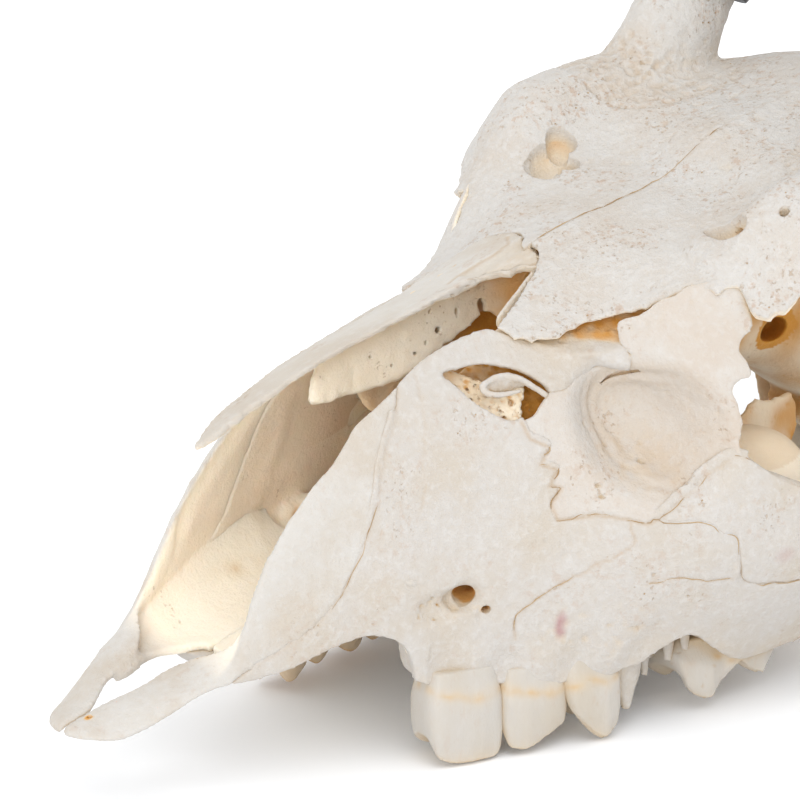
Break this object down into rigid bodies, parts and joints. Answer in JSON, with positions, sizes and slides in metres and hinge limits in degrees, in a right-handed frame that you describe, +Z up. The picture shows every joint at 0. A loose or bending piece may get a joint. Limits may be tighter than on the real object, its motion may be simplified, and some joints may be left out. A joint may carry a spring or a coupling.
{
  "type": "antelope skull",
  "caption": "Small horned antelope skull, life size: pale thin bones of the face, open nose and eye sockets, ridged cheek teeth and upright black horns, lying on its teeth.",
  "frame": {"origin": "centre of the footprint of the bounding box, on the floor that the skull lies on", "axes": "+X towards the animal's left, -Y along the snout, +Z up from the floor"},
  "size_m": [0.0582, 0.1432, 0.1373],
  "materials": {
    "bone": null,
    "thin_bone": null,
    "horn": null
  },
  "bodies": {
    "root": {"braincase": "bone", "frontal_left": "bone", "frontal_right": "bone", "horn_sheath_left": "horn", "horn_sheath_right": "horn", "lacrimal_left": "bone", "lacrimal_right": "bone", "maxilla_left": "bone", "maxilla_right": "bone", "nasal_right": "bone", "premaxilla_left": "bone", "premaxilla_right": "bone", "turbinate_right": "thin_bone", "zygomatic_left": "bone", "zygomatic_right": "bone"}
  },
  "joints": []
}
